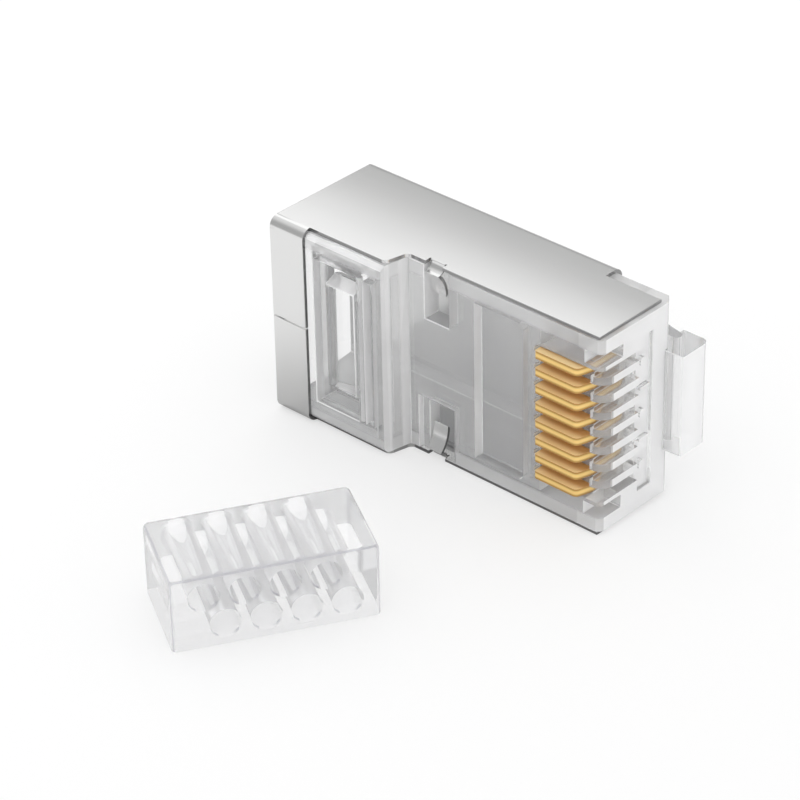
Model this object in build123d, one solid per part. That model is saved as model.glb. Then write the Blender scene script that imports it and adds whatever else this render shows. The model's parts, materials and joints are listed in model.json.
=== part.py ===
from build123d import *
import os
from math import cos, radians, sin

os.makedirs("parts", exist_ok=True)

# Shielded modular plug with eight contacts, standing on one narrow side. Millimetres.
# X runs from the cable end to the nose, Y from the contact side to the latch side,
# Z across the plug's width. Places are worked out from the cable end and the contact
# side, and the finished pieces are moved so that the origin is under the plug's middle.

# Plug as a whole
plug_length = 20.8
plug_width = 11.7
plug_height = 8.1
fit_gap = 0.02

# Shield
sheet = 0.2
bend_radius = 0.6
shield_nose_gap = 0.2
strip_length = 2.35
seam_gap = 0.07
side_edge_drop = 0.38
corner_round = 0.35
notch_length = 3.6
notch_height = 1.3

# Curled tabs of the shield and their pockets
tab_centre_x = 9.7
tab_width = 0.95
tab_relief = 0.1
tab_root_length = 0.1
tab_rise = 0.16
tab_bend_radius = 0.5
tab_curl_radius = 2.1
tab_curl_angle = 44.0
pocket_rear_x = 9.05
pocket_length = 1.66
upper_pocket_reach = 3.42
lower_pocket_reach = 3.2
pocket_frame_rear = 0.5
pocket_frame_top = 0.25
pocket_frame_length = 2.5
pocket_frame_depth = 0.3

# Housing walls and steps
rear_inset = 0.15
step_x = 7.62
step_run = 0.33
step_drop = 1.73
side_wall = 0.28
latch_wall = 0.53
rear_wall = 0.75
front_wall = 1.1
step_wall = 0.72
cavity_ramp = 0.45
nose_edge_round = 0.4
nose_chamfer_length = 0.6
nose_chamfer_height = 0.73

# Windows on the contact side, near the cable end
window_rear_x = 2.8
window_length = 3.05
window_side_margin = 1.28
crossbar_length = 0.5
second_window_length = 0.6
collar_wall = 0.4
collar_depth = 0.9

# Cable clamp in the window
clamp_hinge_radius = 0.26
clamp_hinge_depth = 0.4
clamp_length = 2.3
clamp_front_gap = 0.3
clamp_side_gap = 0.95
clamp_arm_thickness = 0.62
clamp_block_length = 1.75
clamp_block_depth = 1.6
clamp_facet = 0.75

# Recess between the windows and the contacts
recess_rear_x = 12.42
recess_front_gap = 1.07
recess_depth = 0.58
recess_side_margin = 0.97
recess_corner_round = 0.4

# Contacts and their slots
contact_count = 8
contact_pitch = 1.02
contact_thickness = 0.44
contact_nose_gap = 0.95
contact_length = 3.05
contact_proud = 0.4
contact_nose_slope = 0.3
contact_nose_height = 0.95
contact_nose_round = 0.3
contact_rear_round = 0.12
tine_count = 3
tine_height = 0.8
tine_land = 0.12
tine_channel_gap = 0.02
slot_end_gap = 0.05
slot_notch_radius = 0.32
slot_notch_depth = 0.45
slot_below_row = 0.1
web_drop = 0.55
comb_margin = 0.3

# Comb that wraps round the nose
nose_slot_width = 0.58
nose_slot_depth = 2.95
fin_drop = 0.25
fin_round = 0.85
side_pocket_width = 0.75
side_pocket_length = 1.1
side_pocket_depth = 1.65
side_pocket_rib = 0.22
face_recess_depth = 0.25
face_recess_height = 1.05
face_recess_margin = 1.1
face_stud_radius = 0.26
face_stud_spacing = 3.06
face_detail_inset = 0.08
face_rib_width = 0.16
face_rib_spacing = 1.53
face_rib_length = 0.75

# Wire channels and cavity
cavity_nose_back = 4.5
row_gap = 1.7
channel_diameter = 1.2
channel_stop_back = 1.5

# Latch: root block on the nose and lever
latch_width = 5.9
latch_block_front = 1.15
latch_block_height = 2.17
latch_block_proud = 0.95
latch_block_round = 0.45
latch_hinge_back = 0.5
latch_hinge_rise = 0.54
latch_root_thickness = 0.62
latch_rest_angle = 13.0
latch_wide_length = 6.9
latch_shoulder_length = 3.2
latch_shoulder_thickness = 1.25
latch_tongue_width = 3.25
latch_tongue_length = 5.4
latch_tongue_thickness = 0.95
latch_tip_round = 0.35

# Wire insert, which lies in front of the plug
bar_side_gap = 0.075
bar_top_gap = 0.1
bar_depth = 5.6
bar_bore_diameter = 1.5
bar_funnel_diameter = 1.75
bar_funnel_depth = 0.5
bar_edge_round = 0.3
bar_centre_x = 11.92
bar_centre_y = -13.2
bar_turn = 59.2

# Sizes that follow from the ones above
shield_nose_x = plug_length - shield_nose_gap
shell = sheet + fit_gap
body_low_z = shell
body_high_z = plug_width - shell
body_mid_z = plug_width / 2
body_latch_y = plug_height - shell
rear_face_y = shell
front_face_y = rear_face_y + step_drop
step_front_x = step_x + step_run
shield_rear_edge_y = rear_face_y + side_edge_drop
shield_front_edge_y = front_face_y + sheet / 4
tab_bend_y = front_face_y - tab_rise + tab_bend_radius
tab_root_y = tab_bend_y + tab_root_length
contact_rear_x = plug_length - contact_nose_gap - contact_length
recess_front_x = contact_rear_x - recess_front_gap
cavity_nose_x = plug_length - cavity_nose_back
channel_stop_x = plug_length - channel_stop_back
cavity_low_z = body_low_z + side_wall
cavity_high_z = body_high_z - side_wall
cavity_width = cavity_high_z - cavity_low_z
cavity_latch_y = body_latch_y - latch_wall
cavity_front_y = front_face_y + front_wall
cavity_height = cavity_latch_y - cavity_front_y
cavity_rear_y = rear_face_y + rear_wall
window_low_z = body_low_z + window_side_margin
window_high_z = body_high_z - window_side_margin
window_front_x = window_rear_x + window_length
hinge_x = window_front_x
hinge_y = rear_face_y + clamp_hinge_depth
row_mid_y = (cavity_front_y + cavity_latch_y) / 2
slot_width = contact_thickness + 2 * fit_gap
slot_front_x = contact_rear_x + contact_length + slot_end_gap
comb_half = contact_pitch * (contact_count - 1) / 2 + comb_margin
web_y = front_face_y + web_drop
face_recess_y = front_face_y + nose_slot_depth
latch_hinge_x = plug_length - latch_hinge_back
latch_hinge_y = body_latch_y + latch_hinge_rise
latch_block_y = plug_height + latch_block_proud
overshoot = 1.0


def block(x0, x1, y0, y1, z0, z1):
    """A box between two corners."""
    middle = Pos((x0 + x1) / 2, (y0 + y1) / 2, (z0 + z1) / 2)
    return middle * Box(x1 - x0, y1 - y0, z1 - z0)


def prism(points, z0, z1):
    """An outline in X and Y, carried along Z."""
    outline = make_face(Polyline(*points, close=True))
    return Pos(0, 0, z0) * extrude(outline, z1 - z0, dir=(0, 0, 1))


def rounded_prism(points, corners, z0, z1):
    """The same with some corners rounded; corners maps a point's number to its radius."""
    outline = make_face(Polyline(*points, close=True))
    for number, radius in corners.items():
        x, y = points[number]
        vertex = outline.vertices().sort_by_distance((x, y, 0))[0]
        outline = fillet(vertex, radius)
    return Pos(0, 0, z0) * extrude(outline, z1 - z0, dir=(0, 0, 1))


def cylinder_along_z(x, y, radius, z0, z1):
    """A round bar along Z."""
    return Pos(x, y, (z0 + z1) / 2) * Cylinder(radius, z1 - z0)


def cylinder_along_x(y, z, radius, x0, x1):
    """A round bar along X."""
    return Pos((x0 + x1) / 2, y, z) * Rot(0, 90, 0) * Cylinder(radius, x1 - x0)


def mirrored(solid):
    """The same solid on the other narrow side."""
    return mirror(solid, Plane.XY.offset(body_mid_z))


def settle(solid):
    """Moves a finished piece of the plug to the part's own origin."""
    return Pos(-plug_length / 2, -plug_height / 2, 0) * solid


def contact_z(index):
    """The middle of one contact across the width."""
    return body_mid_z + (index - (contact_count - 1) / 2) * contact_pitch


def row_y(index):
    """The middle of the wire that one contact pierces: the rows take turns."""
    side = -1 if index % 2 == 0 else 1
    return row_mid_y + side * row_gap / 2


# Shield

def shield_tab():
    """The curled finger at the upper narrow side, as a bent strip."""
    outer = plug_width
    start = (tab_root_y, outer)
    edge = (tab_bend_y, outer)
    over = (front_face_y - tab_rise, outer - tab_bend_radius)
    curl = radians(tab_curl_angle)
    end = (over[0] + tab_curl_radius * (1 - cos(curl)), over[1] - tab_curl_radius * sin(curl))
    path = Line(start, edge) + RadiusArc(edge, over, tab_bend_radius)
    path += RadiusArc(over, end, tab_curl_radius)
    back_edge = (edge[0], edge[1] - sheet)
    back_over = (over[0] + sheet, over[1])
    inner = tab_curl_radius - sheet
    back_end = (over[0] + tab_curl_radius - inner * cos(curl), over[1] - inner * sin(curl))
    back = Line((start[0], start[1] - sheet), back_edge)
    back += RadiusArc(back_edge, back_over, tab_bend_radius - sheet)
    back += RadiusArc(back_over, back_end, inner)
    ends = Line(start, (start[0], start[1] - sheet)) + Line(end, back_end)
    section = make_face(path + back + ends)
    strip = extrude(Plane.YZ * section, tab_width, dir=(1, 0, 0))
    return Pos(tab_centre_x - tab_width / 2, 0, 0) * strip


def shield():
    """One folded sheet: two narrow sides, the latch side and the strip at the cable end."""
    section = RectangleRounded(plug_height, plug_width, bend_radius)
    section -= RectangleRounded(plug_height - 2 * sheet, plug_width - 2 * sheet, bend_radius - sheet)
    tube = extrude(Plane.YZ * section, shield_nose_x, dir=(1, 0, 0))
    tube = Pos(0, plug_height / 2, body_mid_z) * tube
    front_cut = [
        (strip_length, -overshoot),
        (strip_length, shield_rear_edge_y),
        (step_x, shield_rear_edge_y),
        (step_front_x, shield_front_edge_y),
        (plug_length + overshoot, shield_front_edge_y),
        (plug_length + overshoot, -overshoot),
    ]
    rounds = {2: corner_round, 3: corner_round}
    tube -= rounded_prism(front_cut, rounds, -overshoot, plug_width + overshoot)
    notch_x = shield_nose_x - notch_length
    notch_y = plug_height - notch_height
    tube -= block(notch_x, plug_length, notch_y, plug_height + overshoot, -overshoot, plug_width + overshoot)
    tube -= block(-overshoot, strip_length + overshoot, -overshoot, sheet * 2,
                  body_mid_z - seam_gap / 2, body_mid_z + seam_gap / 2)
    relief_half = tab_width / 2 + tab_relief
    relief = block(tab_centre_x - relief_half, tab_centre_x + relief_half, 0, tab_root_y,
                   body_mid_z, plug_width + overshoot)
    tube -= relief + mirrored(relief)
    tab = shield_tab()
    tube += tab + mirrored(tab)
    return tube


# Housing

def housing_outside():
    """The moulded body without its openings."""
    nose_low_y = body_latch_y - nose_chamfer_height
    outline = [
        (rear_inset, rear_face_y),
        (step_x, rear_face_y),
        (step_front_x, front_face_y),
        (plug_length, front_face_y),
        (plug_length, nose_low_y),
        (plug_length - nose_chamfer_length, body_latch_y),
        (rear_inset, body_latch_y),
    ]
    rounds = {3: nose_edge_round, 4: nose_edge_round, 5: nose_edge_round}
    body = rounded_prism(outline, rounds, body_low_z, body_high_z)
    inside_shield = RectangleRounded(body_latch_y - rear_face_y, body_high_z - body_low_z,
                                     bend_radius - shell)
    envelope = extrude(Plane.YZ * inside_shield, plug_length, dir=(1, 0, 0))
    return body & Pos(0, (body_latch_y + rear_face_y) / 2, body_mid_z) * envelope


def latch_root():
    """The block on the nose that the lever springs from."""
    low_z = body_mid_z - latch_width / 2
    high_z = body_mid_z + latch_width / 2
    front_x = plug_length + latch_block_front
    low_y = latch_block_y - latch_block_height
    outline = [
        (front_x, low_y),
        (front_x, latch_block_y),
        (latch_hinge_x, latch_block_y),
        (latch_hinge_x, body_latch_y - latch_wall),
        (plug_length - nose_chamfer_length, low_y),
    ]
    root = rounded_prism(outline, {1: latch_block_round}, low_z, high_z)
    socket = latch_root_thickness / 2 + fit_gap
    root -= cylinder_along_z(latch_hinge_x, latch_hinge_y, socket, low_z - overshoot, high_z + overshoot)
    return root


def cavity():
    """The space for the cable and the insert, wider where the cable enters."""
    ramp_x = step_front_x - step_wall
    outline = [
        (-overshoot, cavity_rear_y),
        (ramp_x - cavity_ramp, cavity_rear_y),
        (ramp_x, cavity_front_y),
        (cavity_nose_x, cavity_front_y),
        (cavity_nose_x, cavity_latch_y),
        (-overshoot, cavity_latch_y),
    ]
    return prism(outline, cavity_low_z, cavity_high_z)


def windows():
    """The clamp's window, and the narrow one on the other side of the crossbar."""
    second_x = window_front_x + crossbar_length
    large = block(window_rear_x, window_front_x, 0, cavity_rear_y + overshoot, window_low_z, window_high_z)
    small = block(second_x, second_x + second_window_length, 0, cavity_rear_y + overshoot / 2,
                  window_low_z, window_high_z)
    socket = cylinder_along_z(hinge_x, hinge_y, clamp_hinge_radius + fit_gap, window_low_z, window_high_z)
    return large + small + socket


def collar():
    """The rim that stands inwards round the clamp's window."""
    depth_y = cavity_rear_y + collar_depth
    outer = block(window_rear_x - collar_wall, window_front_x, cavity_rear_y, depth_y,
                  window_low_z - collar_wall, window_high_z + collar_wall)
    return outer - block(window_rear_x, window_front_x, 0, depth_y + overshoot, window_low_z, window_high_z)


def tab_pocket(reach):
    """The opening at the upper narrow side that a tab of the shield curls into."""
    return block(pocket_rear_x, pocket_rear_x + pocket_length, front_face_y - overshoot,
                 cavity_front_y + fit_gap, plug_width - reach, plug_width)


def pocket_frame():
    """The shallow step round the opening at the lower narrow side."""
    rear_x = pocket_rear_x - pocket_frame_rear
    return block(rear_x, rear_x + pocket_frame_length, front_face_y - overshoot,
                 front_face_y + pocket_frame_depth, 0, lower_pocket_reach + pocket_frame_top)


def recess():
    """The recess behind the contacts, rounded at its front corners."""
    cut = block(recess_rear_x, recess_front_x,
                front_face_y - overshoot, front_face_y + recess_depth,
                body_low_z + recess_side_margin, body_high_z - recess_side_margin)
    return fillet(cut.edges().filter_by(Axis.Y).group_by(Axis.X)[-1], recess_corner_round)


def contact_slots():
    """The slot of each blade, its rounded rear end and the opening round the nose."""
    cuts = []
    for index in range(contact_count):
        z = contact_z(index)
        cuts.append(block(contact_rear_x - slot_end_gap, slot_front_x, 0, row_y(index) + slot_below_row,
                          z - slot_width / 2, z + slot_width / 2))
        notch_x = contact_rear_x - slot_end_gap
        notch = Pos(notch_x, front_face_y, z) * Rot(90, 0, 0)
        cuts.append(notch * Cylinder(slot_notch_radius, 2 * slot_notch_depth))
        cuts.append(block(slot_front_x - fit_gap, plug_length + overshoot, 0, front_face_y + nose_slot_depth,
                          z - nose_slot_width / 2, z + nose_slot_width / 2))
    return cuts


def comb_top():
    """What is taken off above the webs between the blades and above the rounded fins."""
    low_z = body_mid_z - comb_half
    high_z = body_mid_z + comb_half
    fin_y = front_face_y + fin_drop
    arc_start = (plug_length - fin_round, fin_y)
    arc_end = (plug_length, fin_y + fin_round)
    outline = RadiusArc(arc_start, arc_end, -fin_round) + Polyline(
        arc_end,
        (plug_length + overshoot, arc_end[1]),
        (plug_length + overshoot, 0),
        (contact_rear_x - slot_end_gap, 0),
        (contact_rear_x - slot_end_gap, web_y),
        (slot_front_x, web_y),
        (slot_front_x, fin_y),
        arc_start,
    )
    return Pos(0, 0, low_z) * extrude(make_face(outline), high_z - low_z, dir=(0, 0, 1))


def wire_channels():
    """Eight round channels in two rows, one behind each bore of the insert."""
    cuts = []
    for index in range(contact_count):
        cuts.append(cylinder_along_x(row_y(index), contact_z(index), channel_diameter / 2,
                                     cavity_nose_x - overshoot, channel_stop_x))
    return cuts


def nose_pocket():
    """The pocket beside the comb at the upper narrow side."""
    low_z = body_mid_z + comb_half + side_pocket_rib
    return block(plug_length - side_pocket_length, plug_length + overshoot,
                 0, front_face_y + side_pocket_depth, low_z, low_z + side_pocket_width)


def nose_face_details():
    """Small studs and ribs on the floor of the recess across the nose."""
    floor_x = plug_length - face_recess_depth
    near_y = face_recess_y + face_detail_inset
    pieces = []
    for step in (-1, 0, 1):
        z = body_mid_z + step * face_stud_spacing
        pieces.append(cylinder_along_x(near_y + face_stud_radius, z, face_stud_radius,
                                       floor_x - face_recess_depth, plug_length))
    for side in (-1, 1):
        z = body_mid_z + side * face_rib_spacing
        pieces.append(block(floor_x - face_recess_depth, plug_length, near_y, near_y + face_rib_length,
                            z - face_rib_width / 2, z + face_rib_width / 2))
    return pieces


def housing():
    """The clear moulded body."""
    body = housing_outside() + latch_root()
    body -= cavity()
    body += collar()
    body -= windows()
    body -= tab_pocket(upper_pocket_reach)
    body -= mirrored(tab_pocket(lower_pocket_reach)) + pocket_frame()
    body -= recess()
    for cut in wire_channels():
        body -= cut
    body -= block(plug_length - face_recess_depth, plug_length + overshoot / 4,
                  face_recess_y, face_recess_y + face_recess_height,
                  body_low_z + face_recess_margin, body_high_z - face_recess_margin)
    for detail in nose_face_details():
        body += detail
    side_pocket = nose_pocket()
    body -= side_pocket + mirrored(side_pocket)
    body -= comb_top()
    for cut in contact_slots():
        body -= cut
    return body


# Contacts

def contact(index):
    """One blade: the crown that the jack's spring touches, and the tines that pierce the wire."""
    crown_y = front_face_y - contact_proud
    tip_y = row_y(index) - channel_diameter / 2 - tine_channel_gap
    root_y = tip_y - tine_height
    front_x = contact_rear_x + contact_length
    tine_pitch = contact_length / tine_count
    points = [
        (contact_rear_x, root_y),
        (contact_rear_x, crown_y),
        (front_x - contact_nose_slope, crown_y),
        (front_x, crown_y + contact_nose_height),
        (front_x, root_y),
    ]
    for number in range(tine_count):
        middle = front_x - (number + 0.5) * tine_pitch
        points += [
            (middle + tine_land, tip_y),
            (middle - tine_land, tip_y),
            (middle - tine_pitch / 2, root_y),
        ]
    points = points[:-1]
    half = contact_thickness / 2
    rounds = {1: contact_rear_round, 2: contact_nose_round}
    return rounded_prism(points, rounds, contact_z(index) - half, contact_z(index) + half)


# Latch lever

def latch_lever():
    """The lever, straight in its own frame and then turned to the angle that it stands at."""
    half_root = latch_root_thickness / 2
    wide_end = -latch_wide_length
    tongue_end = wide_end - latch_tongue_length
    shoulder_start = wide_end + latch_shoulder_length
    wide = [
        (0, -half_root),
        (0, half_root),
        (shoulder_start, half_root),
        (wide_end + latch_shoulder_length / 2, latch_shoulder_thickness - half_root),
        (wide_end, latch_shoulder_thickness - half_root),
        (wide_end, -half_root),
    ]
    tongue = [
        (wide_end + overshoot / 2, -half_root),
        (wide_end + overshoot / 2, latch_tongue_thickness - half_root),
        (tongue_end, latch_tongue_thickness - half_root),
        (tongue_end, -half_root),
    ]
    lever = prism(wide, -latch_width / 2, latch_width / 2)
    lever += rounded_prism(tongue, {2: latch_tip_round, 3: latch_tip_round},
                           -latch_tongue_width / 2, latch_tongue_width / 2)
    lever += cylinder_along_z(0, 0, half_root, -latch_width / 2, latch_width / 2)
    return Pos(latch_hinge_x, latch_hinge_y, body_mid_z) * Rot(0, 0, -latch_rest_angle) * lever


# Cable clamp

def cable_clamp():
    """The block in the window: an arm from the crossbar and a deep end that grips the cable."""
    low_z = window_low_z + clamp_side_gap
    high_z = window_high_z - clamp_side_gap
    front_x = hinge_x - clamp_front_gap
    rear_x = hinge_x - clamp_length
    top_y = hinge_y - clamp_hinge_radius
    arm_y = top_y + clamp_arm_thickness
    deep_y = top_y + clamp_block_depth
    outline = [
        (front_x, top_y),
        (front_x, arm_y),
        (rear_x + clamp_block_length, deep_y),
        (rear_x, deep_y - clamp_facet / 2),
        (rear_x, top_y),
    ]
    clamp = prism(outline, low_z, high_z)
    for end, turn in ((low_z, 1), (high_z, -1)):
        wedge = [
            (end - turn * overshoot, top_y - overshoot),
            (end + turn * clamp_facet, top_y - overshoot),
            (end, top_y + clamp_facet),
            (end, deep_y - clamp_facet),
            (end + turn * clamp_facet, deep_y + overshoot),
            (end - turn * overshoot, deep_y + overshoot),
        ]
        section = make_face(Polyline(*[(y, z) for z, y in wedge], close=True))
        span = clamp_length + 2 * overshoot
        clamp -= Pos(rear_x - overshoot, 0, 0) * extrude(Plane.YZ * section, span, dir=(1, 0, 0))
    neck_y = hinge_y + clamp_hinge_radius / 2
    clamp += block(front_x - clamp_front_gap, hinge_x, hinge_y - clamp_hinge_radius / 2, neck_y,
                   low_z + clamp_facet, high_z - clamp_facet)
    clamp += cylinder_along_z(hinge_x, hinge_y, clamp_hinge_radius, low_z + clamp_facet, high_z - clamp_facet)
    return clamp


# Wire insert

def load_bar():
    """The clear block with two staggered rows of bores, lying on its broad side."""
    length = cavity_width - 2 * bar_side_gap
    height = cavity_height - 2 * bar_top_gap
    bar = Pos(0, 0, height / 2) * Box(length, bar_depth, height)
    bar = fillet(bar.edges().filter_by(Axis.Z) + bar.edges().group_by(Axis.Z)[-1], bar_edge_round)
    for index in range(contact_count):
        x = contact_z(index) - body_mid_z
        z = height / 2 + row_mid_y - row_y(index)
        bore = Pos(x, 0, z) * Rot(90, 0, 0)
        bar -= bore * Cylinder(bar_bore_diameter / 2, bar_depth + 2 * overshoot)
        for side in (-1, 1):
            funnel = Pos(x, side * bar_depth / 2, z) * Rot(side * 90, 0, 0)
            bar -= funnel * Cone(bar_funnel_diameter / 2, bar_bore_diameter / 2, bar_funnel_depth)
    return Pos(bar_centre_x, bar_centre_y, 0) * Rot(0, 0, bar_turn) * bar


def write(solid, name):
    """Writes one piece as its own file."""
    export_step(settle(solid), f"parts/{name}.step")


write(housing(), "housing")
write(shield(), "shield")
write(latch_lever(), "latch_lever")
write(cable_clamp(), "cable_clamp")
write(load_bar(), "load_bar")
for number in range(contact_count):
    write(contact(number), f"contact_{number + 1}")
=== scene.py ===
import json
import math

import bmesh
import bpy
from mathutils import Matrix, Vector


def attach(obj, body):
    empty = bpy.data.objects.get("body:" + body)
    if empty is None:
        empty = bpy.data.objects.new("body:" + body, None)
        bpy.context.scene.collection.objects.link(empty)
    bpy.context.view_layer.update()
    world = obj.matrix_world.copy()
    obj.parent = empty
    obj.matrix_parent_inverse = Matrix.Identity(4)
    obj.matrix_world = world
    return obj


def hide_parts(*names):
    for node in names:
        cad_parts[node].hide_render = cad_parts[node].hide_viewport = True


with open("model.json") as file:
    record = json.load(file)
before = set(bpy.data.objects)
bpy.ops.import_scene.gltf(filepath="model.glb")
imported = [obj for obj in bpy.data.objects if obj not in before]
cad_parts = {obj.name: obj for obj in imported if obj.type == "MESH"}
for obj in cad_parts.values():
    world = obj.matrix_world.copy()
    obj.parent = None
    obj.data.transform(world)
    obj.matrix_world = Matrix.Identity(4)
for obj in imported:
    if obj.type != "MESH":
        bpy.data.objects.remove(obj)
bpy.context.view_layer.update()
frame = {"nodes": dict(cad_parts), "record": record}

bl_info = {
    "name": "Shielded Modular Plug",
    "version": (1, 0, 0),
    "blender": (4, 5, 0),
    "location": "3D View > Sidebar > Plug",
    "description": "Finishes the plug, its blades, its shell and its wire insert, "
                   "and sets the stage",
    "category": "Object",
}

BODY_OF = {node: body for body, nodes in frame["record"]["behaviour"]["bodies"].items()
           for node in nodes}
BLADES = sorted(node for node in frame["nodes"] if node.startswith("contact_"))
MM = 0.001

# Meshes
MERGE = 0.0005 * MM     # points nearer than this become one
FLAT_DEG = 0.6          # faces that meet at less than this become one
CREASE_DEG = 33.0       # edges that turn more than this are sharp
FLAT_WIDTH = 0.3 * MM   # faces wider than this are shaded flat
BEVEL_ROOM = 2.0        # an edge is broken where all faces at its ends are wider than this many bevels
BEVEL_STEPS = 2
INSERT_SHORTEST = 2.0   # times the shortest moulded edge
BLADE_SHORTEST = 0.4

# Each pair below makes a mask, which is 0 at the first number and 1 at the second.
# How squarely a face looks along an axis
SQUARE_TO = (0.96, 0.99)
SQUARE_AWAY = (-0.96, -0.99)
BLADE_FLAT = (0.8, 0.95)
# Edges facing up or to the nose take painted highlight, the others painted shade
LIT_SIDE = (-0.1, 0.1)
LIT_FROM_NOSE = 0.5     # what facing the nose adds to facing up, for LIT_SIDE
# How far a face turns away from all three axes
CLEAR_SKEW = (0.03, 0.06)
INSERT_SKEW = (0.1, 0.22)
# How high a direction points
OVERHEAD = (0.5, 0.95)
# Places on the plug, in millimetres along the axis in the name
COMB_X, COMB_Y = (9.3, 9.5), (-1.0, -1.2)
CORNER_X = (8.6, 9.0)
STEP_X = (0.0, 1.0)
FRONT_CUT_X, FRONT_CUT_Y = (-8.06, -8.04), (-1.8, -1.9)     # the sheet's end on the contact side
# Distances, in millimetres
STEP_BAND = (0.2, 0.4)              # from the middle of the step's clear band
INSERT_SKIN = (-0.17, -0.15)        # from the insert's outer sides

# Marks in the materials
CLEAR_CLOUD, INSERT_CLOUD = 6, 5    # how many times finer the gloss's clouds are than the flow
FLOW_HAZE = (0.85, 1.15)            # how far the flow thins and thickens the haze
FLOW_STRETCH = (0.35, 1.0, 1.0)
FLOW_RELIEF, CLOUD_RELIEF = 0.7, 0.3
CLEAR_GLOSS_SPREAD = (0.0, 0.04)    # added to the least roughness
INSERT_GLOSS_SPREAD = (0.02, 0.08)
INSERT_HAZE_SPREAD = 0.04
NICKEL_LINES, NICKEL_CLOUDS = 900.0, 140.0
NICKEL_STRETCH = (0.04, 1.0, 1.0)
LINE_GLOSS, CLOUD_GLOSS = 0.6, 0.4  # shares of the lines and the clouds in the roughness
NICKEL_SPREAD = (-0.04, 0.05)       # added to the middle roughness
NICKEL_RELIEF = 0.0002 * MM
GOLD_GRAIN = 2600.0
GOLD_STRETCH = (0.3, 1.0, 1.0)
FLAT_GLOSS, GRAIN_GLOSS = 0.7, 0.3  # shares of the flats and the grain in the roughness
GOLD_WEAR = 0.08
GOLD_POLISHED = 0.16                # roughness of the crowns
GOLD_RELIEF = 0.002 * MM

# Stage
WHITE, BLACK, PAPER = (1.0, 1.0, 1.0), (0.0, 0.0, 0.0), (0.98, 0.98, 0.98)
PAPER_GRAIN = 40.0
FLOOR_HALF = 1.5                    # metres
SENSOR_MM = 36.0
NEAREST_SEEN = 0.01                 # metres


class Wire:
    """A node's output, written in sums with the usual signs."""

    def __init__(self, net, socket):
        self.net = net
        self.socket = socket

    def combine(self, operation, other, swapped=False):
        first, second = (other, self) if swapped else (self, other)
        return self.net.node("ShaderNodeMath", {"operation": operation}, {0: first, 1: second})

    def __add__(self, other):
        return self.combine("ADD", other)

    __radd__ = __add__

    def __sub__(self, other):
        return self.combine("SUBTRACT", other)

    def __rsub__(self, other):
        return self.combine("SUBTRACT", other, swapped=True)

    def __mul__(self, other):
        return self.combine("MULTIPLY", other)

    __rmul__ = __mul__

    def __truediv__(self, other):
        return self.combine("DIVIDE", other)

    def __rtruediv__(self, other):
        return self.combine("DIVIDE", other, swapped=True)

    def magnitude(self):
        return self.net.node("ShaderNodeMath", {"operation": "ABSOLUTE"}, {0: self})

    def fraction(self):
        return self.net.node("ShaderNodeMath", {"operation": "FRACT"}, {0: self})

    def larger(self, other):
        return self.combine("MAXIMUM", other)

    def smooth(self, start, end):
        """Goes softly from 0 at start to 1 at end."""
        sockets = {"Value": self, "From Min": start, "From Max": end}
        return self.net.node("ShaderNodeMapRange", {"interpolation_type": "SMOOTHSTEP"}, sockets)

    def smooth_mm(self, start, end):
        """The same for a place in metres, with both ends in millimetres."""
        return self.smooth(start * MM, end * MM)


class Net:
    """The nodes of a material or of the world."""

    def __init__(self, owner):
        owner.use_nodes = True
        self.tree = owner.node_tree
        self.tree.nodes.clear()

    def feed(self, socket, value):
        if isinstance(value, Wire):
            self.tree.links.new(value.socket, socket)
        else:
            socket.default_value = value

    def node(self, kind, settings=None, sockets=None, output=0):
        """Adds a node: its settings first, then the values or links of its sockets."""
        made = self.tree.nodes.new(kind)
        for name, value in (settings or {}).items():
            setattr(made, name, value)
        for name, value in (sockets or {}).items():
            self.feed(made.inputs[name], value)
        return Wire(self, made.outputs[output])

    def ray(self, kind):
        """1 for rays of one kind, such as Camera, Glossy or Transmission, and 0 for all others."""
        return self.node("ShaderNodeLightPath", output=f"Is {kind} Ray")

    def part(self, vector, axis):
        """One of a vector's three numbers."""
        return self.node("ShaderNodeSeparateXYZ", {}, {0: vector}, output=axis)

    def turned(self, vector, angle, centre=(0.0, 0.0, 0.0)):
        """A vector or a place, turned about a line along Z."""
        sockets = {"Vector": vector, "Center": centre, "Angle": angle}
        return self.node("ShaderNodeVectorRotate", {"rotation_type": "Z_AXIS"}, sockets)


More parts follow.
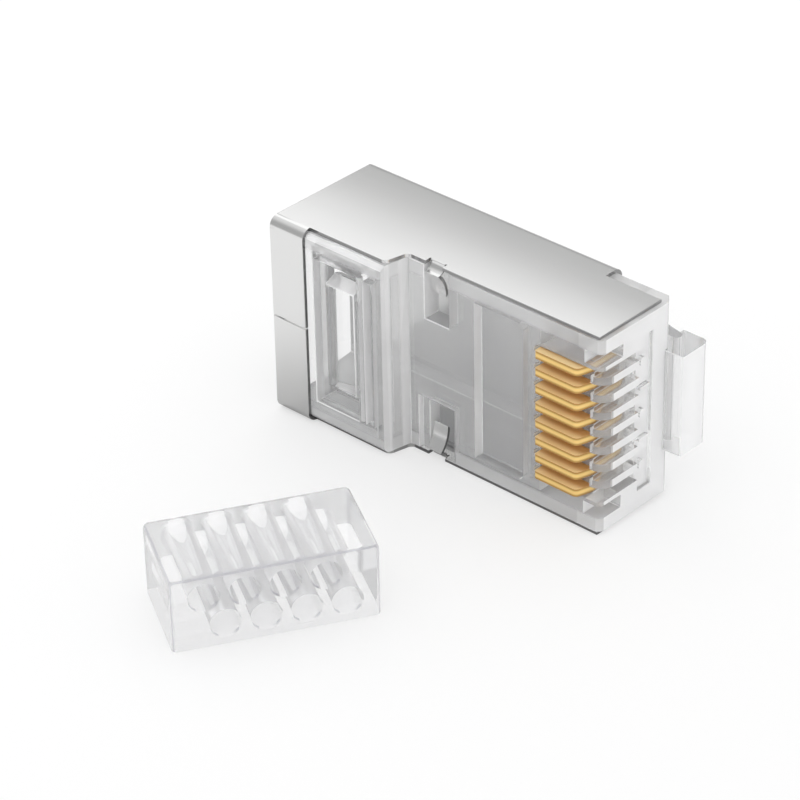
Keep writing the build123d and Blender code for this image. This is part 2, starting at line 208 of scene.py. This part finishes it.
class Finish(Net):
    """A material under construction."""

    def __init__(self, name):
        self.material = bpy.data.materials.new(name)
        super().__init__(self.material)
        self.shader = self.tree.nodes.new("ShaderNodeBsdfPrincipled")
        self.output = self.tree.nodes.new("ShaderNodeOutputMaterial")
        self.tree.links.new(self.shader.outputs[0], self.output.inputs["Surface"])

    def place(self, stretch=(1, 1, 1)):
        """Object coordinates, stretched along the axes."""
        coordinates = self.node("ShaderNodeTexCoord", output="Object")
        return self.node("ShaderNodeMapping", {}, {"Vector": coordinates, "Scale": stretch})

    def axes(self):
        """The three Object coordinates on their own."""
        place = self.place()
        return [self.part(place, axis) for axis in "XYZ"]

    def noise(self, scale, detail=2.0, roughness=0.5, stretch=(1, 1, 1)):
        """Noise from 0 to 1 with features about 1/scale metres across."""
        sockets = {"Vector": self.place(stretch), "Scale": scale, "Detail": detail,
                   "Roughness": roughness}
        return self.node("ShaderNodeTexNoise", {}, sockets)

    def facing(self, axis, turn=0.0):
        """How far the surface faces along an axis, from -1 to 1.

        The axes are turned about Z with the piece.
        """
        normal = self.node("ShaderNodeNewGeometry", output="True Normal")
        return self.part(self.turned(normal, -turn), axis)

    def skew(self, turn=0.0):
        """How far the surface turns away from all three axes.

        It is 0 on the flat sides and more on edges and curves.
        """
        sides = [self.facing(axis, turn).magnitude() for axis in "XYZ"]
        return 1.0 - sides[0].larger(sides[1]).larger(sides[2])

    def outside(self, look):
        """1 close under the insert's six outer sides and 0 deeper in its bores."""
        middle = Vector(look.insert_middle)
        place = self.turned(self.place(), -look.insert_turn, middle)
        depths = []
        for axis, centre, size in zip("XYZ", middle, look.insert_size):
            depths.append((self.part(place, axis) - centre).magnitude() - size / 2)
        return depths[0].larger(depths[1]).larger(depths[2]).smooth_mm(*INSERT_SKIN)

    def between(self, factor, low, high):
        """A number that goes from low to high with the factor."""
        return low + factor * (high - low)

    def tint(self, factor, first, second):
        """A colour that goes from the first to the second with the factor."""
        sockets = {0: factor, 6: rgba(first), 7: rgba(second)}
        return self.node("ShaderNodeMix", {"data_type": "RGBA"}, sockets, output=2)

    def bump(self, height, distance):
        """Relief for the shader's normal: where height is 1 it stands that many metres high."""
        return self.node("ShaderNodeBump", {}, {"Height": height, "Distance": distance,
                                                "Strength": 1.0})

    def mixed(self, factor, first, second):
        """Goes from the first shader to the second with the factor."""
        return self.node("ShaderNodeMixShader", {}, {0: factor, 1: first, 2: second})

    def backed_by(self, factor, shader):
        """Mixes another shader over this one."""
        mixed = self.mixed(factor, Wire(self, self.shader.outputs[0]), shader)
        self.feed(self.output.inputs["Surface"], mixed)

    def frosted(self, factor, colour, body):
        """Adds a haze that light passes straight; body is the share of it that scatters."""
        clear = self.node("ShaderNodeBsdfTransparent")
        white = self.node("ShaderNodeBsdfDiffuse", {}, {"Color": rgba(colour)})
        self.backed_by(factor, self.mixed(body, clear, white))

    def glow(self, colour, strength):
        """A shader that gives light of its own."""
        return self.node("ShaderNodeEmission", {}, {"Color": rgba(colour), "Strength": strength})

    def surface(self, **values):
        """Sets the shader's own sockets; an underscore stands for a space."""
        for name, value in values.items():
            self.feed(self.shader.inputs[name.replace("_", " ")], value)
        return self.material


def rgba(colour):
    """A colour with its fourth value, unless it is a wire."""
    return colour if isinstance(colour, Wire) else (*colour[:3], 1.0)


# Finishes

# The clear body shows four kinds of haze: of its depth, of the faces towards the nose, of its
# corners at the nose, and along its edges. The strongest of them shows. Along the narrow sides
# and on the faces towards the nose the haze is painted reflection; along the edges it is painted
# highlight and painted shade.

def body_haze(finish, look, flow, rim):
    """The clear body's haze: strongest at the nose and, as painted reflection, along both narrow
    sides.
    """
    along, _, _ = finish.axes()
    nose = along.smooth_mm(*look.nose_haze_from)
    tail = 1.0 - along.smooth_mm(*look.tail_haze_from)
    haze = (look.clear_haze + nose * (look.nose_haze - look.clear_haze)
            + tail * (look.tail_haze - look.clear_haze))
    return haze.larger(rim * look.rim_painted_reflection) * finish.between(flow, *FLOW_HAZE)


def side_painted_reflection(finish, look):
    """Painted reflection as white haze on faces towards the nose, weaker in the step's middle."""
    along, across, _ = finish.axes()
    bands = (across - look.step_middle * MM).magnitude().smooth_mm(*STEP_BAND)
    step = finish.between(bands, look.step_painted_reflection, look.side_painted_reflection)
    strength = finish.between(along.smooth_mm(*STEP_X), step, look.side_painted_reflection)
    return finish.facing("X").smooth(*SQUARE_TO) * strength


def painted_edge_lines(finish, look):
    """Painted highlights and painted shade: lines along broken edges, weaker on the comb's fins."""
    along, across, _ = finish.axes()
    comb = along.smooth_mm(*COMB_X) * across.smooth_mm(*COMB_Y)
    return finish.skew().smooth(*CLEAR_SKEW) * finish.between(comb, look.painted_edge_lines,
                                                              look.comb_painted_edge_lines)


def clear_moulding(name, look):
    """Clear polycarbonate with a faint tint and flow marks.

    Its haze depends on the place and on where the face looks. It stands in for what the inner
    reflections show.
    """
    finish = Finish(name)
    flow = finish.noise(look.flow_scale, detail=3.0, stretch=FLOW_STRETCH)
    cloud = finish.noise(look.flow_scale * CLEAR_CLOUD, detail=2.0)
    along, _, height = finish.axes()
    rim = (height - look.rim_middle * MM).magnitude().smooth_mm(*look.rim_places)
    corner = rim * along.smooth_mm(*CORNER_X) * look.corner_haze
    side = side_painted_reflection(finish, look)
    edge = painted_edge_lines(finish, look)
    # Painted highlight on edges facing up or to the nose, painted shade on the others
    lit = (finish.facing("Z") + finish.facing("X") * LIT_FROM_NOSE).smooth(*LIT_SIDE)
    line = finish.tint(lit, look.edge_dark, look.haze_colour)
    finish.frosted(body_haze(finish, look, flow, rim).larger(corner).larger(side).larger(edge),
                   finish.tint(edge, look.haze_colour, line),
                   finish.between(side.larger(edge), look.haze_body, look.side_body))
    least, most = (look.clear_gloss + spread for spread in CLEAR_GLOSS_SPREAD)
    return finish.surface(
        Base_Color=finish.tint(flow, look.clear_tint, look.clear_shade),
        Roughness=finish.between(cloud, least, most),
        IOR=look.clear_index,
        Transmission_Weight=look.clear_depth,
        Normal=finish.bump(flow * FLOW_RELIEF + cloud * CLOUD_RELIEF, look.flow_relief * MM),
    )


def insert_moulding(name, look):
    """The insert's clear plastic, a touch more lilac and milky, with lines of painted shade along its
    edges.
    """
    finish = Finish(name)
    flow = finish.noise(look.flow_scale, detail=3.0)
    cloud = finish.noise(look.flow_scale * INSERT_CLOUD, detail=2.0)
    edge = finish.skew(look.insert_turn).smooth(*INSERT_SKEW) * finish.outside(look)
    haze = finish.between(cloud, look.insert_haze - INSERT_HAZE_SPREAD,
                          look.insert_haze + INSERT_HAZE_SPREAD)
    finish.frosted(haze.larger(edge * look.insert_painted_edge_lines),
                   finish.tint(edge, look.haze_colour, look.insert_edge_shade),
                   finish.between(edge, look.haze_body, look.side_body))
    least, most = (look.clear_gloss + spread for spread in INSERT_GLOSS_SPREAD)
    return finish.surface(
        Base_Color=finish.tint(flow, look.insert_tint, look.insert_shade),
        Roughness=finish.between(cloud, least, most),
        IOR=look.clear_index,
        Transmission_Weight=look.clear_depth,
        Normal=finish.bump(flow, look.flow_relief * MM),
    )


def nickel_sheet(name, look):
    """Rolled and nickel plated sheet: fine lines along the roll, soft gloss, darker cut edges."""
    finish = Finish(name)
    lines = finish.noise(NICKEL_LINES, detail=4.0, roughness=0.6, stretch=NICKEL_STRETCH)
    cloud = finish.noise(NICKEL_CLOUDS, detail=2.0)
    along, across, _ = finish.axes()
    front = along.smooth_mm(*FRONT_CUT_X) * across.smooth_mm(*FRONT_CUT_Y)
    # Darker cut edges: partly the cut metal's own duller colour, partly painted shade
    cut = (front * finish.facing("Y").smooth(*SQUARE_AWAY)).larger(
        finish.facing("X").smooth(*SQUARE_TO))
    plating = finish.tint(cloud, look.nickel_colour, look.nickel_shade)
    least, most = (look.nickel_roughness + spread for spread in NICKEL_SPREAD)
    return finish.surface(
        Base_Color=finish.tint(cut, plating, look.cut_edge_and_shade_colour),
        Metallic=1.0,
        Roughness=finish.between(lines * LINE_GLOSS + cloud * CLOUD_GLOSS, least, most),
        Normal=finish.bump(lines, NICKEL_RELIEF),
    )


def gold_plate(name, look):
    """Gold on stamped bronze: satin flats, and brighter crowns with darker rims of painted shade."""
    finish = Finish(name)
    _, across, height = finish.axes()
    row = ((height - look.gold_row_from * MM) / (look.gold_pitch * MM)).fraction()
    rim = (row - 0.5).magnitude().smooth(*look.gold_rim_from)
    flat = finish.facing("Z").magnitude().smooth(*BLADE_FLAT)
    grain = finish.noise(GOLD_GRAIN, detail=3.0, stretch=GOLD_STRETCH)
    # Painted shade: the flat sides darken deeper in the slots, the crowns along their rims
    sides = finish.tint(across.smooth_mm(*look.deep_gold_shade_from), look.gold_flat, look.deep_gold_shade)
    crowns = finish.tint(rim, look.gold_edge, look.gold_rim_shade)
    return finish.surface(
        Base_Color=finish.tint(grain * GOLD_WEAR, finish.tint(flat, crowns, sides),
                               look.gold_shade),
        # Painted reflection: flats and crowns are mostly not metallic, so their colours stand in for
        # it
        Metallic=finish.between(flat, look.gold_edge_metal, look.gold_flat_metal),
        Roughness=finish.between(flat * FLAT_GLOSS + grain * GRAIN_GLOSS, GOLD_POLISHED,
                                 look.gold_roughness),
        Normal=finish.bump(grain, GOLD_RELIEF),
    )


def studio_floor(name, stage):
    """The pale floor, with a light shadow of the plug.

    In gloss it is darkened with painted shade, most at the plug's foot and less further off.
    """
    finish = Finish(name)
    direct = finish.ray("Camera").larger(finish.ray("Transmission"))
    seen = finish.tint(direct, BLACK, stage.floor_colour)
    distance = finish.node("ShaderNodeVectorMath", {"operation": "LENGTH"}, {0: finish.place()},
                           output="Value")
    # Painted shade, seen in gloss alone: darkest at the plug's foot
    dark = finish.between(distance.smooth(*stage.gloss_places), stage.foot_gloss_shade,
                          stage.far_gloss_shade)
    finish.backed_by(direct * (1.0 - stage.shadow_depth) + finish.ray("Glossy") * dark,
                     finish.glow(seen, 1.0))
    return finish.surface(Base_Color=rgba(stage.floor_colour), Roughness=1.0,
                          Specular_IOR_Level=0.0)


def card_glow(name, stage):
    """The reflector card over the plug."""
    finish = Finish(name)
    finish.backed_by(1.0, finish.glow(WHITE, stage.card_glow))
    return finish.surface(Base_Color=finish.tint(finish.noise(PAPER_GRAIN), WHITE, PAPER),
                          Roughness=1.0)


# Shapes

def width(face):
    """How wide a long face is, or half of that for a square one."""
    return 2 * face.calc_area() / face.calc_perimeter()


def breakable(shape, edge, shortest):
    """The longer sharp edges whose neighbours have room for a bevel."""
    return [line for line in shape.edges if line.is_manifold and line.calc_length() > shortest
            and line.calc_face_angle() > math.radians(CREASE_DEG)
            and all(width(face) > BEVEL_ROOM * edge
                    for end in line.verts for face in end.link_faces)]


def moulded_copy(node, title, edge, shortest):
    """A copy of a node with its flat faces whole again and its longer edges broken."""
    mesh = frame["nodes"][node].data.copy()
    mesh.name = title
    shape = bmesh.new()
    shape.from_mesh(mesh)
    bmesh.ops.remove_doubles(shape, verts=shape.verts, dist=MERGE)
    bmesh.ops.dissolve_limit(shape, angle_limit=math.radians(FLAT_DEG), verts=shape.verts,
                             edges=shape.edges)
    bmesh.ops.bevel(shape, geom=breakable(shape, edge, shortest), offset=edge,
                    offset_type="OFFSET", segments=BEVEL_STEPS, profile=0.5, affect="EDGES",
                    clamp_overlap=False, material=-1)
    narrow = [width(face) < FLAT_WIDTH for face in shape.faces]
    shape.to_mesh(mesh)
    shape.free()
    mesh.set_sharp_from_angle(angle=math.radians(CREASE_DEG))
    mesh.polygons.foreach_set("use_smooth", narrow)
    copy = bpy.data.objects.new(title, mesh)
    bpy.context.scene.collection.objects.link(copy)
    return copy


def dress(piece, node, material):
    """Puts a finished piece in the place of its node."""
    piece.data.materials.clear()
    piece.data.materials.append(material)
    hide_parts(node)
    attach(piece, BODY_OF[node])


# Settings

def colour(title, text, value):
    return bpy.props.FloatVectorProperty(name=title, description=text, default=value,
                                         subtype="COLOR", size=3, min=0.0, max=1.0)


def share(title, text, value, least=0.0):
    """A number from 0 to 1."""
    return bpy.props.FloatProperty(name=title, description=text, default=value, min=least,
                                   max=1.0, subtype="FACTOR")


def number(title, text, value, **kind):
    """A plain number, of the kind that its description gives."""
    return bpy.props.FloatProperty(name=title, description=text, default=value, **kind)


def length(title, text, value):
    """A length in metres."""
    return bpy.props.FloatProperty(name=title, description=text, default=value, min=0.0,
                                   unit="LENGTH", precision=6)


def numbers(title, text, value, **kind):
    """Two or three numbers that belong together."""
    return bpy.props.FloatVectorProperty(name=title, description=text, default=value,
                                         size=len(value), **kind)


class PlugLook(bpy.types.PropertyGroup):
    """Colours, gloss and edge sizes of the plug. Places with no unit are in millimetres."""
    clear_tint: colour("Clear tint", "Tint of the clear body", (0.997, 0.998, 0.998))
    clear_shade: colour("Clear shade", "Tint where the moulding is denser", (0.985, 0.988, 0.99))
    clear_gloss: share("Clear gloss", "Least roughness of the clear body", 0.02)
    clear_index: number("Refraction", "Index of refraction of the plastic", 1.3, min=1.0, max=2.0)
    clear_depth: share("Clearness", "1 is clear and 0 is milky white", 0.97)
    flow_scale: number("Flow scale", "Moulding flow marks per metre", 260.0, min=1.0)
    flow_relief: number("Flow relief", "Height of the flow marks in millimetres", 0.0006, min=0.0)
    haze_colour: colour("Haze colour", "Colour of the haze", (0.96, 0.96, 0.965))
    haze_body: share("Haze body", "Share of the haze that scatters light", 0.6)
    clear_haze: share("Haze", "Haze of the body's middle", 0.27)
    nose_haze: share("Nose haze", "Haze of the comb, the nose and the latch root", 0.28)
    nose_haze_from: numbers("Nose haze places", "Where it starts and is full", (5.2, 7.6))
    tail_haze: share("Tail haze", "Haze round the clamp's window", 0.12)
    tail_haze_from: numbers("Tail haze places", "Where it is full and ends", (-4.0, -2.6))
    # Painted reflection: light that the shell casts into both narrow sides
    rim_painted_reflection: share("Rim haze", "Haze along both narrow sides", 0.55)
    rim_middle: number("Rim middle", "Half of the plug's width in millimetres", 5.85)
    rim_places: numbers("Rim haze places", "Where it starts and is full", (4.5, 5.0))
    corner_haze: share("Corner haze", "Haze of the nose's outer corners", 0.7)
    # Painted reflection: the white haze on the faces towards the nose and on the step
    side_painted_reflection: share("Side haze", "Haze of the faces towards the nose", 0.82)
    side_body: share("Side body", "Share of the side haze that scatters light", 1.0)
    step_painted_reflection: share("Step haze", "Haze of the step between windows and recess", 0.35)
    step_middle: number("Step middle", "Middle of the step's clear band, along Y", -2.97)
    # Painted highlights and painted shade: lines along the edges, pale where they face up or to the
    # nose
    painted_edge_lines: share("Edge haze", "How strongly the edges show as lines", 0.75)
    comb_painted_edge_lines: share("Comb edge haze", "The same on the comb's fins", 0.25)
    edge_dark: colour("Dark edges", "Colour of the edges that face away from the light",
                      (0.3, 0.3, 0.31))
    insert_tint: colour("Insert tint", "Tint of the wire insert", (0.99, 0.99, 0.998))
    insert_shade: colour("Insert shade", "Tint where the insert is denser", (0.975, 0.975, 0.99))
    insert_haze: share("Insert haze", "Haze of the wire insert", 0.35)
    insert_turn: number("Insert turn", "How far the insert is turned about Z",
                        math.radians(59.2), subtype="ANGLE")
    insert_middle: numbers("Insert middle", "The middle of the insert",
                           (0.00152, -0.01725, 0.00205), unit="LENGTH")
    insert_size: numbers("Insert size", "Its length, depth and height",
                         (0.01055, 0.0056, 0.0041), unit="LENGTH")
    # Painted shade: darker lines along the insert's edges
    insert_painted_edge_lines: share("Insert edge haze", "How strongly its edges show", 0.5)
    insert_edge_shade: colour("Insert lines", "Colour along the insert's edges", (0.5, 0.5, 0.54))
    edge_break: length("Edge break", "Rounding of the moulded edges", 0.05 * MM)
    insert_edge: length("Insert edge", "Rounding of the insert's edges", 0.07 * MM)
    shell_edge: length("Shell edge", "Rounding of the sheet's cut edges", 0.03 * MM)
    blade_edge: length("Blade edge", "Rounding of the blades' edges", 0.035 * MM)
    shortest_edge: length("Shortest edge", "Shorter moulded edges stay sharp", 0.8 * MM)
    nickel_colour: colour("Nickel", "Colour of the nickel", (0.92, 0.92, 0.915))
    nickel_shade: colour("Nickel shade", "Colour of the duller nickel", (0.88, 0.88, 0.875))
    nickel_roughness: share("Nickel roughness", "Middle roughness of the nickel", 0.2, 0.05)
    # Partly the cut metal's own duller colour, partly painted shade
    cut_edge_and_shade_colour: colour("Cut edges", "Colour of the sheet's cut edges", (0.34, 0.34, 0.34))
    # Painted reflection: these mostly non-metallic colours stand in for the blades' reflections
    gold_flat: colour("Gold flats", "Colour of the blades' flat sides", (1.0, 0.74, 0.38))
    gold_flat_metal: share("Gold flat metal", "How metallic the flat sides look", 0.05)
    # Painted shade: the flat sides darken deeper in the slots
    deep_gold_shade: colour("Deep gold", "Colour of the flat sides deeper in the slots",
                      (0.72, 0.4, 0.14))
    deep_gold_shade_from: numbers("Deep gold places", "Where it starts and is full", (-2.35, -1.9))
    gold_edge: colour("Gold edges", "Colour of the blades' crowns", (1.0, 0.7, 0.25))
    gold_edge_metal: share("Gold edge metal", "How metallic the crowns look", 0.25)
    # Painted shade: the crowns darken along their rims
    gold_rim_shade: colour("Gold lines", "Colour along the blades' edges", (0.5, 0.27, 0.07))
    gold_pitch: number("Gold pitch", "From one blade to the next, in millimetres", 1.02, min=0.1)
    gold_row_from: number("Gold row start", "Height midway below the first blade", 1.77)
    gold_rim_from: numbers("Gold rim", "Where the crowns' rims start and are full, in pitches",
                           (0.04, 0.17))
    gold_shade: colour("Gold shade", "Colour in the stamping marks", (0.62, 0.40, 0.16))
    gold_roughness: share("Gold roughness", "Roughness of the flat sides", 0.42, 0.05)


class PlugStage(bpy.types.PropertyGroup):
    """The floor and the light round the plug."""
    floor_colour: colour("Floor", "Colour of the floor", (0.957, 0.957, 0.957))
    shadow_depth: share("Shadow", "How much of its shadow the floor keeps", 0.45)
    gloss_places: numbers("Gloss places", "From the plug's foot outwards", (0.010, 0.021),
                          unit="LENGTH")
    # Painted shade: the floor darkens in gloss alone, most at the plug's foot
    foot_gloss_shade: share("Foot gloss shade",
                            "How dark the floor at the plug's foot shows in gloss", 0.485)
    far_gloss_shade: share("Far gloss shade", "How dark the floor further off shows in gloss",
                           0.22)
    room_light: number("Room light", "Light that comes from all round", 1.0, min=0.0)
    backdrop: number("Backdrop", "Brightness of the room as the camera sees it", 0.975, min=0.0)
    clear_room: number("Room through plastic",
                       "Brightness of the room as seen through the clear pieces", 1.0, min=0.0)
    top_glow: number("Top glow", "Brightness of the room overhead, in gloss", 0.9, min=0.0)
    side_glow: number("Side glow", "Brightness of the room at eye level, in gloss", 0.4, min=0.0)
    card_glow: number("Card glow", "Brightness of the reflector card", 1.08, min=0.0)
    card_height: length("Card height", "Height of the card above the floor", 0.032)
    card_low: numbers("Card corner", "The card's corner with the least X and Y", (-0.10, 0.0),
                      unit="LENGTH")
    card_high: numbers("Far card corner", "The card's opposite corner", (0.06, 0.026),
                       unit="LENGTH")
    lamp_glow: number("Lamp glow", "Brightness of the lamp's face", 0.35, min=0.0)
    lamp_height: length("Lamp height", "Height of the lamp above the floor", 0.08)
    lamp_low: numbers("Lamp corner", "The lamp's corner with the least X and Y", (-0.16, -0.05),
                      unit="LENGTH")
    lamp_high: numbers("Far lamp corner", "The lamp's opposite corner", (0.02, 0.078),
                       unit="LENGTH")


class PlugView(bpy.types.PropertyGroup):
    """Where the camera stands: angles, distance and the point that it looks at."""
    azimuth: number("Azimuth", "Turn round the plug, in degrees", 43.33)
    elevation: number("Elevation", "Height above the floor, in degrees", 32.31)
    roll: number("Roll", "Turn about the line of sight, in degrees", -1.27)
    distance: length("Distance", "From the camera to its aim", 0.18053)
    aim: numbers("Aim", "The point that the camera looks at", (-0.001654, -0.003752, 0.003988),
                 subtype="XYZ")
    lens: number("Lens", "Focal length in millimetres on a 36 mm sensor", 157.5)


# Tools

class PLUG_OT_housing(bpy.types.Operator):
    """Finishes the clear body of the plug"""
    bl_idname = "plug.housing"
    bl_label = "Housing"

    def execute(self, context):
        look = context.scene.plug_look
        piece = moulded_copy("housing", "housing_moulded", look.edge_break, look.shortest_edge)
        dress(piece, "housing", clear_moulding("clear_polycarbonate", look))
        return {"FINISHED"}


class PLUG_OT_small_mouldings(bpy.types.Operator):
    """Finishes the latch lever and the cable clamp"""
    bl_idname = "plug.small_mouldings"
    bl_label = "Lever and clamp"

    def execute(self, context):
        look = context.scene.plug_look
        material = clear_moulding("clear_polycarbonate_small", look)
        for node in ("latch_lever", "cable_clamp"):
            piece = moulded_copy(node, f"{node}_moulded", look.edge_break, look.shortest_edge)
            dress(piece, node, material)
        return {"FINISHED"}


class PLUG_OT_insert(bpy.types.Operator):
    """Finishes the wire insert that lies in front"""
    bl_idname = "plug.insert"
    bl_label = "Wire insert"

    def execute(self, context):
        look = context.scene.plug_look
        piece = moulded_copy("load_bar", "load_bar_moulded", look.insert_edge,
                             INSERT_SHORTEST * look.shortest_edge)
        dress(piece, "load_bar", insert_moulding("insert_polycarbonate", look))
        return {"FINISHED"}


class PLUG_OT_shell(bpy.types.Operator):
    """Finishes the folded metal shell"""
    bl_idname = "plug.shell"
    bl_label = "Metal shell"

    def execute(self, context):
        look = context.scene.plug_look
        piece = moulded_copy("shield", "shield_folded", look.shell_edge, look.shortest_edge)
        dress(piece, "shield", nickel_sheet("nickel_plating", look))
        return {"FINISHED"}


class PLUG_OT_blades(bpy.types.Operator):
    """Finishes the eight gold blades"""
    bl_idname = "plug.blades"
    bl_label = "Blades"

    def execute(self, context):
        look = context.scene.plug_look
        material = gold_plate("gold_plating", look)
        for node in BLADES:
            piece = moulded_copy(node, f"{node}_plated", look.blade_edge,
                                 BLADE_SHORTEST * look.shortest_edge)
            dress(piece, node, material)
        return {"FINISHED"}


class PLUG_OT_stage(bpy.types.Operator):
    """Sets the floor, the light and the camera"""
    bl_idname = "plug.stage"
    bl_label = "Stage"

    def execute(self, context):
        scene = context.scene
        scene.view_settings.view_transform = "Standard"
        set_floor(scene, scene.plug_stage)
        set_world(scene, scene.plug_stage)
        set_lamp(scene, scene.plug_stage)
        set_card(scene, scene.plug_stage)
        set_camera(scene, scene.plug_view)
        return {"FINISHED"}


def stage_piece(scene, title, shape, material):
    """Makes an object of a shape that isn't part of the plug."""
    mesh = bpy.data.meshes.new(title)
    shape.to_mesh(mesh)
    shape.free()
    mesh.materials.append(material)
    piece = bpy.data.objects.new(title, mesh)
    scene.collection.objects.link(piece)
    return piece


def set_floor(scene, stage):
    """A wide floor at the foot of the plug."""
    shape = bmesh.new()
    bmesh.ops.create_grid(shape, x_segments=1, y_segments=1, size=FLOOR_HALF)
    floor = stage_piece(scene, "studio_floor", shape, studio_floor("studio_floor", stage))


def set_world(scene, stage):
    """A pale room. In gloss it is brightest overhead, and through clear plastic it is even."""
    scene.world = bpy.data.worlds.new("studio_room")
    net = Net(scene.world)
    height = net.part(net.node("ShaderNodeTexCoord", output="Generated"), "Z")
    in_gloss = stage.side_glow + height.smooth(*OVERHEAD) * (stage.top_glow - stage.side_glow)
    brightness = stage.room_light + net.ray("Glossy") * (in_gloss - stage.room_light)
    for kind, seen in (("Transmission", stage.clear_room), ("Camera", stage.backdrop)):
        brightness = brightness + net.ray(kind) * (seen - brightness)
    room = net.node("ShaderNodeBackground", {}, {"Color": rgba(WHITE), "Strength": brightness})
    output = net.tree.nodes.new("ShaderNodeOutputWorld")
    net.feed(output.inputs["Surface"], room)


def set_lamp(scene, stage):
    """A soft box over the plug, which gives the shadows. It doesn't show in gloss."""
    (low_x, low_y), (high_x, high_y) = stage.lamp_low, stage.lamp_high
    lamp = bpy.data.lights.new("soft_box", "AREA")
    lamp.shape = "RECTANGLE"
    lamp.size = high_x - low_x
    lamp.size_y = high_y - low_y
    lamp.energy = stage.lamp_glow * math.pi * lamp.size * lamp.size_y
    holder = bpy.data.objects.new("soft_box", lamp)
    holder.location = ((low_x + high_x) / 2, (low_y + high_y) / 2, stage.lamp_height)
    holder.visible_glossy = False
    scene.collection.objects.link(holder)


def set_card(scene, stage):
    """A bright card close over the plug, seen in gloss alone.

    The shell's upper side mirrors it, and its far edge gives that side its shading.
    """
    (low_x, low_y), (high_x, high_y) = stage.card_low, stage.card_high
    shape = bmesh.new()
    shape.faces.new([shape.verts.new((x, y, stage.card_height)) for x, y in
                     ((low_x, low_y), (low_x, high_y), (high_x, high_y), (high_x, low_y))])
    card = stage_piece(scene, "reflector_card", shape, card_glow("reflector_card", stage))
    card.visible_camera = card.visible_diffuse = False
    card.visible_transmission = card.visible_shadow = False


def heading(azimuth, elevation):
    """The direction from the plug to a place round it; 0 is in front, and both are in degrees."""
    turn, rise = math.radians(azimuth), math.radians(elevation)
    return Vector((math.sin(turn) * math.cos(rise), -math.cos(turn) * math.cos(rise),
                   math.sin(rise)))


def set_camera(scene, view):
    """The camera at the plug's three-quarter view."""
    back = heading(view.azimuth, view.elevation)
    right = heading(view.azimuth + 90.0, 0.0)
    up = back.cross(right)
    turn = Matrix.Rotation(math.radians(view.roll), 3, back)
    lens = bpy.data.cameras.new("view_camera")
    lens.lens = view.lens
    lens.sensor_width = SENSOR_MM
    lens.clip_start = NEAREST_SEEN
    camera = bpy.data.objects.new("view_camera", lens)
    axes = Matrix((turn @ right, turn @ up, back)).transposed().to_4x4()
    camera.matrix_world = Matrix.Translation(Vector(view.aim) + back * view.distance) @ axes
    scene.collection.objects.link(camera)
    scene.camera = camera


class PLUG_PT_tools(bpy.types.Panel):
    """Lists the plug's pieces and settings"""
    bl_label = "Plug"
    bl_idname = "PLUG_PT_tools"
    bl_space_type = "VIEW_3D"
    bl_region_type = "UI"
    bl_category = "Plug"

    def draw(self, context):
        layout = self.layout
        for tool in TOOLS:
            layout.operator(tool.bl_idname)
        for settings in (context.scene.plug_look, context.scene.plug_stage,
                         context.scene.plug_view):
            box = layout.box()
            for name in settings.bl_rna.properties.keys():
                if name not in ("rna_type", "name"):
                    box.prop(settings, name)


TOOLS = (
    PLUG_OT_housing,
    PLUG_OT_small_mouldings,
    PLUG_OT_insert,
    PLUG_OT_shell,
    PLUG_OT_blades,
    PLUG_OT_stage,
)
CLASSES = (PlugLook, PlugStage, PlugView, *TOOLS, PLUG_PT_tools)


def register():
    for item in CLASSES:
        bpy.utils.register_class(item)
    bpy.types.Scene.plug_look = bpy.props.PointerProperty(type=PlugLook)
    bpy.types.Scene.plug_stage = bpy.props.PointerProperty(type=PlugStage)
    bpy.types.Scene.plug_view = bpy.props.PointerProperty(type=PlugView)


def unregister():
    del bpy.types.Scene.plug_view
    del bpy.types.Scene.plug_stage
    del bpy.types.Scene.plug_look
    for item in reversed(CLASSES):
        bpy.utils.unregister_class(item)


def main():
    register()
    bpy.ops.plug.housing()
    bpy.ops.plug.small_mouldings()
    bpy.ops.plug.insert()
    bpy.ops.plug.shell()
    bpy.ops.plug.blades()
    bpy.ops.plug.stage()


if __name__ == "__main__":
    main()
